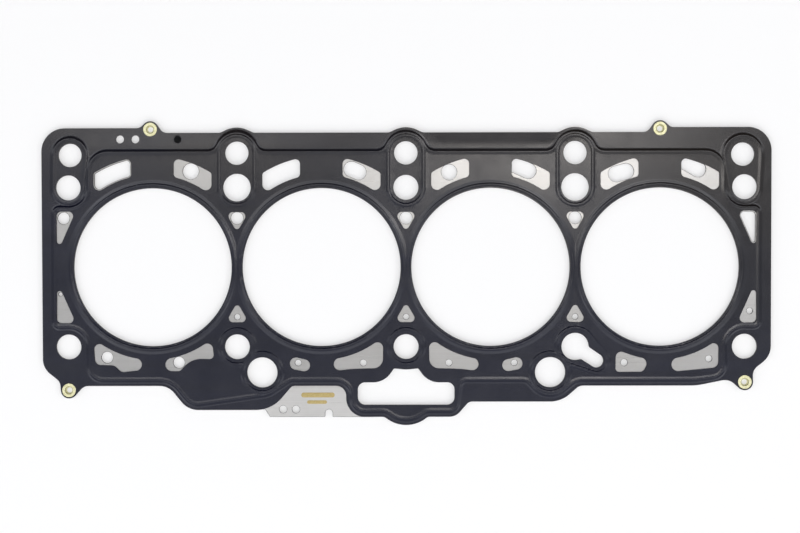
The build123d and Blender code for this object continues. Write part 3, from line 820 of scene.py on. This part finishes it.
def uneven_reach(radius, angle, x, y):
    """The radius at an angle round the eyelet at x, y, whose rim is slightly wavy."""
    wave = 0.02 * sin(5 * angle + x) + 0.015 * sin(9 * angle + y)
    out = (radius - EYELET_TUBE_RADIUS) / (EYELET_FLANGE_RADIUS - EYELET_TUBE_RADIUS)
    drawn_in = 0.035 if radius > EYELET_TUBE_RADIUS + 0.5 else 0.0
    return radius + wave * max(0.0, out) - drawn_in


def eyelet(name, x, y, materials):
    """A tube with rolled flanges, turned about its axis."""
    profile = eyelet_profile()
    size = len(profile)
    verts, faces = [], []
    for k in range(EYELET_AROUND):
        angle = 2 * pi * k / EYELET_AROUND
        for radius, z in profile:
            reach = uneven_reach(radius, angle, x, y)
            verts.append(((x + reach * cos(angle)) * MM, (y + reach * sin(angle)) * MM, z * MM))
        a, b = k * size, (k + 1) % EYELET_AROUND * size
        faces += [(a + j, b + j, b + (j + 1) % size, a + (j + 1) % size) for j in range(size)]
    # The funnel rows take the darkened plating, which paints the shade inside the funnel.
    slots = [1 if face[0] % size in FUNNEL_ROWS else 0 for face in faces]
    return mesh_object(name, verts, faces, materials, slots)


def printed_bar(name, x, y, length, width, material):
    """A thin bar of ink on the tab, with rounded ends."""
    half = width / 2
    places, normals = trace([(x - length / 2 + half, y, half), (x + length / 2 - half, y, half)], 0.15)
    top = places - normals * INK_BEVEL
    size = len(places)
    verts = np.concatenate([
        np.column_stack([[[x, y]], [HIGH_SPACER_Z + INK_HEIGHT]]),
        np.column_stack([top, np.full(size, HIGH_SPACER_Z + INK_HEIGHT)]),
        np.column_stack([places, np.full(size, HIGH_SPACER_Z - INK_DEPTH)]),
    ])
    faces = [(0, 1 + k, 1 + (k + 1) % size) for k in range(size)]
    faces += [(1 + k, 1 + size + k, 1 + size + (k + 1) % size, 1 + (k + 1) % size) for k in range(size)]
    faces.append(tuple(1 + size + k for k in reversed(range(size))))
    return mesh_object(name, verts * MM, faces, [material])


def pressed_stud(material):
    """A low domed stud in the stamped ring that marks the joint of the layers."""
    size = len(STUD_PROFILE)
    verts, faces = [], []
    for k in range(STUD_AROUND):
        angle = 2 * pi * k / STUD_AROUND
        for radius, z in STUD_PROFILE:
            x, y = RING_CENTRE[0] + radius * cos(angle), RING_CENTRE[1] + radius * sin(angle)
            verts.append((x, y, HIGH_RIM_Z + z))
    verts.append((*RING_CENTRE, HIGH_RIM_Z + STUD_TOP))
    for k in range(STUD_AROUND):
        a, b = k * size, (k + 1) % STUD_AROUND * size
        faces.append((len(verts) - 1, a, b))
        faces += [(a + j, a + j + 1, b + j + 1, b + j) for j in range(size - 1)]
    faces.append(tuple(k * size + size - 1 for k in reversed(range(STUD_AROUND))))
    return mesh_object("pressed_stud", np.array(verts) * MM, faces, [material])


# ---- materials --------------------------------------------------------------


def fill_ramp(node, stops):
    """Gives a colour ramp its stops, each a position and a colour of three parts."""
    elements = node.color_ramp.elements
    while len(elements) < len(stops):
        elements.new(0.5)
    for element, (position, color) in zip(elements, stops):
        element.position = position
        element.color = (*color, 1)
    return node.outputs["Color"]


class Nodes:
    """A material being built. Sockets are given as values or as other nodes' outputs."""

    def __init__(self, name):
        self.material = bpy.data.materials.new(name)
        self.material.use_nodes = True
        self.tree = self.material.node_tree
        self.shader = self.tree.nodes["Principled BSDF"]
        self.place = self.add("ShaderNodeTexCoord").outputs["Object"]

    def add(self, kind, settings=None, **sockets):
        node = self.tree.nodes.new(kind)
        for name, value in (settings or {}).items():
            setattr(node, name, value)
        for name, value in sockets.items():
            self.set(node, name.replace("_", " "), value)
        return node

    def set(self, node, name, value):
        socket = node.inputs[name]
        if isinstance(value, bpy.types.NodeSocket):
            self.tree.links.new(value, socket)
        else:
            socket.default_value = value

    def scaled(self, scale):
        node = self.add("ShaderNodeMapping")
        self.set(node, "Vector", self.place)
        node.inputs["Scale"].default_value = scale
        return node.outputs["Vector"]

    def noise(self, scale, detail=3.0, roughness=0.55, stretch=(1, 1, 1)):
        node = self.add("ShaderNodeTexNoise", Scale=scale, Detail=detail, Roughness=roughness)
        self.set(node, "Vector", self.scaled(stretch))
        return node.outputs["Fac"]

    def ramp(self, value, stops):
        node = self.add("ShaderNodeValToRGB")
        self.set(node, "Fac", value)
        return fill_ramp(node, stops)

    def grey_ramp(self, value, stops):
        return self.ramp(value, [(position, (grey, grey, grey)) for position, grey in stops])

    def mix(self, factor, first, second, blend="MIX"):
        node = self.add("ShaderNodeMix", {"data_type": "RGBA", "blend_type": blend})
        for i, value in ((0, factor), (6, first), (7, second)):
            if isinstance(value, tuple) and len(value) == 3:
                value = (*value, 1)
            self.set(node, i, value)
        return node.outputs[2]

    def math(self, operation, *values):
        node = self.add("ShaderNodeMath", {"operation": operation})
        for i, value in enumerate(values):
            self.set(node, i, value)
        return node.outputs[0]

    def bump(self, height, strength, distance):
        node = self.add("ShaderNodeBump", Height=height, Strength=strength, Distance=distance)
        return node.outputs["Normal"]

    def finish(self, **sockets):
        for name, value in sockets.items():
            self.set(self.shader, name.replace("_", " "), value)
        return self.material


def linear(*levels):
    """A colour given in screen levels, 0 to 255, as the linear one that nodes take."""
    return tuple((v / 255 / 12.92) if v <= 10 else ((v / 255 + 0.055) / 1.055) ** 2.4 for v in levels)


def coating():
    """Satin rubber coating: charcoal with a blue cast, browner towards the top as a painted sheen."""
    n = Nodes("coated_steel")
    split = n.add("ShaderNodeSeparateXYZ", Vector=n.place)
    # Painted sheen: the colour turns browner towards the top, broken into random clouds.
    across = n.math("MULTIPLY", split.outputs["Y"], 6.0)
    cloud = n.math("MULTIPLY", n.noise(9.0, 3.0), 0.7)
    painted_sheen = n.math("ADD", n.math("ADD", split.outputs["X"], across), cloud)
    tone = n.ramp(painted_sheen, [(0.3, linear(13, 15, 31)), (0.55, linear(17, 17, 26)), (0.85, linear(27, 23, 21))])
    mottle = n.grey_ramp(n.noise(420.0, 6.0, 0.7), [(0.3, 0.9), (0.7, 1.1)])
    streaks = n.grey_ramp(n.noise(300.0, 4.0, 0.6, (0.02, 1, 1)), [(0.3, 0.85), (0.7, 1.18)])
    color = n.mix(1.0, n.mix(1.0, tone, mottle, "MULTIPLY"), streaks, "MULTIPLY")
    rough = n.grey_ramp(n.noise(90.0, 4.0, 0.6), [(0.3, 0.18), (0.7, 0.24)])
    grain = n.bump(n.noise(2600.0, 4.0, 0.7), 0.08, 0.00004)
    return n.finish(Base_Color=color, Roughness=rough, Normal=grain, Specular_IOR_Level=0.6)


def punched_edge():
    """Bare metal along a punched edge, smeared here and there with coating."""
    n = Nodes("punched_edge")
    smear = n.grey_ramp(n.noise(900.0, 5.0, 0.7), [(0.42, 0.0), (0.6, 1.0)])
    color = n.mix(smear, linear(84, 82, 80), linear(40, 40, 46))
    rough = n.grey_ramp(n.noise(500.0, 4.0), [(0.3, 0.35), (0.7, 0.55)])
    return n.finish(Base_Color=color, Roughness=rough, Metallic=0.7)


def bare_steel():
    """Rolled steel with fine lines along the sheet; a painted shade makes it darker in the windows than on
    the tab, and a painted reflection makes it paler towards the top and the right.
    """
    n = Nodes("bare_steel")
    lines = n.noise(2600.0, 4.0, 0.7, (0.006, 1, 1))
    cloud = n.noise(60.0, 4.0, 0.6)
    tone = n.ramp(n.math("ADD", n.math("MULTIPLY", lines, 0.5), n.math("MULTIPLY", cloud, 0.5)),
                  [(0.3, linear(196, 194, 189)), (0.7, linear(212, 210, 206))])
    split = n.add("ShaderNodeSeparateXYZ", Vector=n.place)
    # Painted shade: darker in the windows, where the steel lies recessed, than on the tab.
    painted_window_shade = n.math("MULTIPLY_ADD", split.outputs["Y"], 250.0, 16.0)
    tone = n.mix(1.0, tone, n.grey_ramp(painted_window_shade, [(0.1, 1.03), (0.9, 0.73)]), "MULTIPLY")
    # Painted reflection: paler towards the top and the right.
    across = n.math("MULTIPLY", split.outputs["Y"], 5.0)
    far = n.math("ADD", n.math("MULTIPLY", split.outputs["X"], 1.5), across)
    tone = n.mix(1.0, tone, n.grey_ramp(far, [(0.0, 1.0), (0.4, 1.3)]), "MULTIPLY")
    rough = n.grey_ramp(lines, [(0.3, 0.27), (0.7, 0.36)])
    grain = n.bump(lines, 0.12, 0.00002)
    return n.finish(Base_Color=tone, Roughness=rough, Normal=grain, Metallic=0.85)


PLATING_TONES = ((212, 208, 158), (230, 226, 182), (240, 236, 200))
# How far the plating is darkened to paint the shade inside the funnels.
FUNNEL_SHADE = 0.14
FLOOR_WHITE = 0.45


def plating(name, shade=1.0):
    """Pale yellow-green plating with a little tarnish, darkened by shade."""
    n = Nodes(name)
    cloud = n.noise(700.0, 4.0, 0.6)
    low, middle, high = (tuple(shade * part for part in linear(*tone)) for tone in PLATING_TONES)
    tone = n.ramp(cloud, [(0.3, low), (0.55, middle), (0.75, high)])
    rough = n.grey_ramp(n.noise(1400.0, 4.0), [(0.3, 0.26), (0.7, 0.42)])
    grain = n.bump(n.noise(3000.0, 3.0), 0.2, 0.00004)
    return n.finish(Base_Color=tone, Roughness=rough, Normal=grain, Metallic=0.5)


def black_oxide():
    """Matt black finish with small worn specks."""
    n = Nodes("black_oxide")
    tone = n.ramp(n.noise(1800.0, 5.0, 0.7), [(0.35, linear(7, 7, 8)), (0.75, linear(20, 20, 22))])
    rough = n.grey_ramp(n.noise(1200.0, 3.0), [(0.3, 0.5), (0.7, 0.7)])
    grain = n.bump(n.noise(3200.0, 3.0), 0.2, 0.00003)
    return n.finish(Base_Color=tone, Roughness=rough, Normal=grain, Specular_IOR_Level=0.1)


def gold_ink():
    """Gold ink, thinner here and there."""
    n = Nodes("gold_ink")
    tone = n.ramp(n.noise(1100.0, 5.0, 0.7), [(0.3, linear(170, 150, 92)), (0.65, linear(194, 174, 118))])
    rough = n.grey_ramp(n.noise(1500.0, 3.0), [(0.3, 0.4), (0.7, 0.6)])
    return n.finish(Base_Color=tone, Roughness=rough, Metallic=0.3)


def floor_material():
    """White floor that is seen as part plain white, so that it shows only part of its shadow."""
    n = Nodes("floor")
    n.finish(Base_Color=(0.92, 0.92, 0.92, 1), Roughness=0.9)
    white = n.add("ShaderNodeEmission", Color=(0.975, 0.968, 0.955, 1), Strength=1.0)
    path = n.add("ShaderNodeLightPath")
    seen = n.math("MAXIMUM", path.outputs["Is Camera Ray"], path.outputs["Is Glossy Ray"])
    seen = n.math("MAXIMUM", seen, path.outputs["Is Transmission Ray"])
    mix = n.add("ShaderNodeMixShader")
    n.set(mix, 0, n.math("MULTIPLY", seen, FLOOR_WHITE))
    n.set(mix, 1, n.shader.outputs["BSDF"])
    n.set(mix, 2, white.outputs["Emission"])
    n.tree.links.new(mix.outputs["Shader"], n.tree.nodes["Material Output"].inputs["Surface"])
    return n.material


# ---- the gasket -------------------------------------------------------------


def build_sheets():
    coated, cut, steel = coating(), punched_edge(), bare_steel()
    relief = Relief()
    windows = common_holes() + coolant_windows()
    spacer_holes = common_holes() + metering_holes() + tab_holes()
    grid = grid_points()
    slopes = np.concatenate([slope_points(), grid])

    def upper_levels(places):
        height = relief(places)
        return HIGH_SPACER_Z + height, HIGH_RIM_Z + height - ring_depth(places)

    def lower_levels(places):
        height = relief(places)
        return mirrored(HIGH_RIM_Z) - height, mirrored(HIGH_SPACER_Z) - height

    def spacer_levels(places):
        flat = np.ones(len(places))
        return LOW_SPACER_Z * flat, HIGH_SPACER_Z * flat

    top = sheet("top_sheet", rim_loop(), windows, slopes, upper_levels, [coated, cut])
    low = sheet("bottom_sheet", rim_loop(), windows, slopes, lower_levels, [coated, cut])
    with_tab = rim_loop(tab=True)
    middle = sheet("spacer_sheet", with_tab, spacer_holes, grid, spacer_levels, [steel, cut], SPACER_ROUNDING)
    for piece, node, slot_name in (
        (top, "top_bead_layer", "coated_steel"),
        (low, "bottom_bead_layer", "coated_steel"),
        (middle, "spacer_layer", "bare_steel"),
    ):
        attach(piece, "root")
        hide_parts(node)


def build_eyelets():
    # The second plating is a darkened copy, painted shade for inside the funnels.
    plated = [plating("yellow_plating"), plating("painted_shade_plating", FUNNEL_SHADE)]
    for name, (x, y) in EYELETS.items():
        piece = eyelet("eyelet_ring_" + name, x, y, plated)
        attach(piece, "root")
        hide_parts("eyelet_" + name)


def build_stud():
    stud = pressed_stud(black_oxide())
    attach(stud, "root")


def build_print():
    gold = gold_ink()
    for i, (x, y, length, width) in enumerate(PRINTED_BARS):
        piece = printed_bar("printed_bar_%d" % i, x, y, length, width, gold)
        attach(piece, "root")


# ---- floor, light and camera, in metres -------------------------------------

FLOOR_HALF = 6.0

# Light levels of the sky along y and x, from -1 to 1 as 0 to 1.
FRONT_TO_BACK = (
    (0.28, 0.5), (0.35, 1.6), (0.39, 1.6), (0.43, 0.42), (0.55, 0.50),
    (0.59, 1.9), (0.63, 1.9), (0.67, 0.015), (0.9, 0.015), (0.95, 0.6),
)
LEFT_TO_RIGHT = (
    (0.27, 0.9), (0.31, 1.7), (0.34, 1.7), (0.38, 1.0),
    (0.62, 1.0), (0.66, 1.7), (0.69, 1.7), (0.73, 0.9),
)
SKY_TINT = (0.98, 0.99, 1.02)
SKY_SEEN = 0.95

# Name, place, aim, size, power, colour, and whether the lamp shows in reflections.
LAMPS = (
    ("key", (0.1, -1.9, 1.5), (0.0, 0.0, 0), (3.6, 1.8), 33, (1.0, 0.98, 0.95), False),
    ("overhead", (0.15, 0.13, 1.6), (0.15, 0.13, 0), (0.26, 0.14), 0.62, (1.0, 0.95, 0.9), True),
    ("back_right", (0.33, 0.26, 1.6), (0.33, 0.26, 0), (0.2, 0.22), 0.68, (1.0, 0.96, 0.94), True),
    ("back_left", (-0.36, 0.22, 1.6), (-0.36, 0.22, 0), (0.4, 0.08), 0.34, (1.0, 0.94, 0.88), True),
    ("left", (-1.9, -0.2, 1.3), (0, 0, 0), (1.2, 1.2), 8, (0.94, 0.97, 1.0), False),
    ("right", (1.9, 0.1, 1.3), (0, 0, 0), (1.2, 1.2), 8, (1.0, 0.97, 0.94), False),
)

# The camera as fitted to the photograph, in radians about x, y and z and in millimetres.
CAMERA_TURN = (0.01456, 0.00735, -0.00146)
CAMERA_SHIFT = (3.1132, 0.2634, 780.825)
MEASURED_PLANE_Z = 2.1
SENSOR_WIDTH = 36
FOCAL_LENGTH = 67.5


def build_floor():
    corners = [(-1, -1), (1, -1), (1, 1), (-1, 1)]
    mesh = bpy.data.meshes.new("floor")
    mesh.from_pydata([(x * FLOOR_HALF, y * FLOOR_HALF, 0) for x, y in corners], [], [(0, 1, 2, 3)])
    mesh.materials.append(floor_material())
    floor = bpy.data.objects.new("floor", mesh)
    bpy.context.scene.collection.objects.link(floor)


def area_light(name, place, aim, size, power, color, reflected):
    light = bpy.data.lights.new(name, "AREA")
    light.shape = "RECTANGLE"
    light.size, light.size_y = size
    light.energy = power
    light.color = color
    lamp = bpy.data.objects.new(name, light)
    lamp.visible_glossy = reflected
    lamp.location = place
    lamp.rotation_euler = (Vector(aim) - Vector(place)).to_track_quat("-Z", "Y").to_euler()
    bpy.context.scene.collection.objects.link(lamp)


def sky_bands(tree, direction, levels):
    """Light levels along one axis of the sky."""
    share = tree.nodes.new("ShaderNodeMath")
    share.operation = "MULTIPLY_ADD"
    share.inputs[1].default_value = share.inputs[2].default_value = 0.5
    tree.links.new(direction, share.inputs[0])
    ramp = tree.nodes.new("ShaderNodeValToRGB")
    tree.links.new(share.outputs[0], ramp.inputs["Fac"])
    return fill_ramp(ramp, [(place, [level * part for part in SKY_TINT]) for place, level in levels])


def build_sky():
    """A sky of soft bands, which the camera itself sees as plain white."""
    world = bpy.data.worlds.new("studio")
    world.use_nodes = True
    bpy.context.scene.world = world
    tree = world.node_tree
    background = tree.nodes["Background"]
    split = tree.nodes.new("ShaderNodeSeparateXYZ")
    tree.links.new(tree.nodes.new("ShaderNodeTexCoord").outputs["Generated"], split.inputs[0])
    both = tree.nodes.new("ShaderNodeVectorMath")
    both.operation = "MULTIPLY"
    tree.links.new(sky_bands(tree, split.outputs["Y"], FRONT_TO_BACK), both.inputs[0])
    tree.links.new(sky_bands(tree, split.outputs["X"], LEFT_TO_RIGHT), both.inputs[1])
    tree.links.new(both.outputs[0], background.inputs["Color"])
    white = tree.nodes.new("ShaderNodeBackground")
    white.inputs["Strength"].default_value = SKY_SEEN
    path = tree.nodes.new("ShaderNodeLightPath")
    mix = tree.nodes.new("ShaderNodeMixShader")
    tree.links.new(path.outputs["Is Camera Ray"], mix.inputs[0])
    tree.links.new(background.outputs[0], mix.inputs[1])
    tree.links.new(white.outputs[0], mix.inputs[2])
    tree.links.new(mix.outputs[0], tree.nodes["World Output"].inputs["Surface"])


def build_camera():
    """Pinhole that matches the photograph, looking almost straight down."""
    about_x, about_y, about_z = (Matrix.Rotation(turn, 3, axis) for turn, axis in zip(CAMERA_TURN, "XYZ"))
    looking = about_z @ about_y @ about_x
    flip = Matrix(((1, 0, 0), (0, -1, 0), (0, 0, -1)))
    right, down, forward = [Vector(row) for row in looking @ flip]
    place = -(flip @ (looking.transposed() @ Vector(CAMERA_SHIFT))) + Vector((0, 0, MEASURED_PLANE_Z))
    data = bpy.data.cameras.new("camera")
    data.sensor_width = SENSOR_WIDTH
    data.lens = FOCAL_LENGTH
    data.clip_start = 0.01
    data.clip_end = 50
    camera = bpy.data.objects.new("camera", data)
    axes = Matrix((right, -down, -forward)).transposed().to_4x4()
    camera.matrix_world = Matrix.Translation(place * MM) @ axes
    bpy.context.scene.collection.objects.link(camera)
    bpy.context.scene.camera = camera


bpy.context.scene.view_settings.view_transform = "Standard"
build_sheets()
build_eyelets()
build_stud()
build_print()
build_floor()
build_sky()
for lamp in LAMPS:
    area_light(*lamp)
build_camera()
